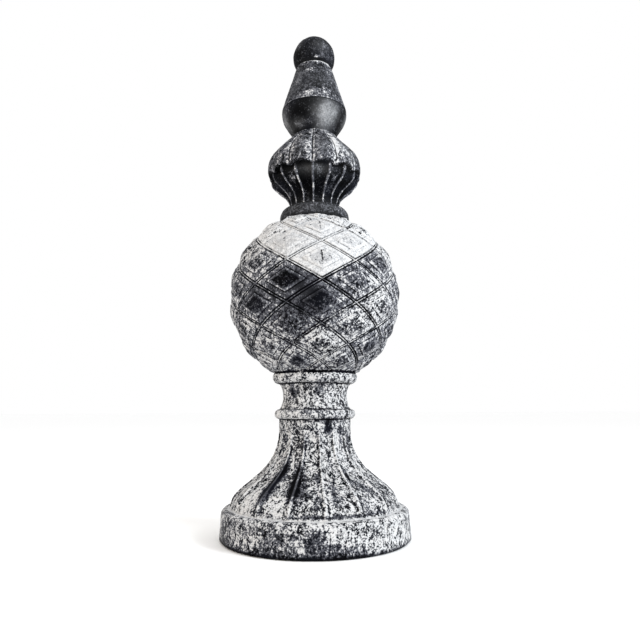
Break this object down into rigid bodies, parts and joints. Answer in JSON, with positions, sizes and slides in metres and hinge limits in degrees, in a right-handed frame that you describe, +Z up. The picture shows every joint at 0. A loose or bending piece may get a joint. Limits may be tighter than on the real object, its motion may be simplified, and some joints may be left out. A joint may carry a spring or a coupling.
{
  "type": "garden finial",
  "caption": "Tall one-piece finial: round plate, ribbed bell foot, beaded neck, ball with a diamond lattice, fluted bud, cone and knob, in worn black and whitewash.",
  "frame": {"origin": "middle of the flat underside of the plate", "axes": "+Z up along the turned axis, -Y the side that the picture shows, +X to its right"},
  "size_m": [0.2618, 0.2618, 0.7528],
  "materials": {
    "painted_stone": "cast stone in charcoal-black paint with a worn, rubbed whitewash over it: black in the hollows, white on ribs and high places, salt-like specks all over, matt to dull satin"
  },
  "bodies": {
    "root": {"finial": "painted_stone"}
  },
  "joints": []
}
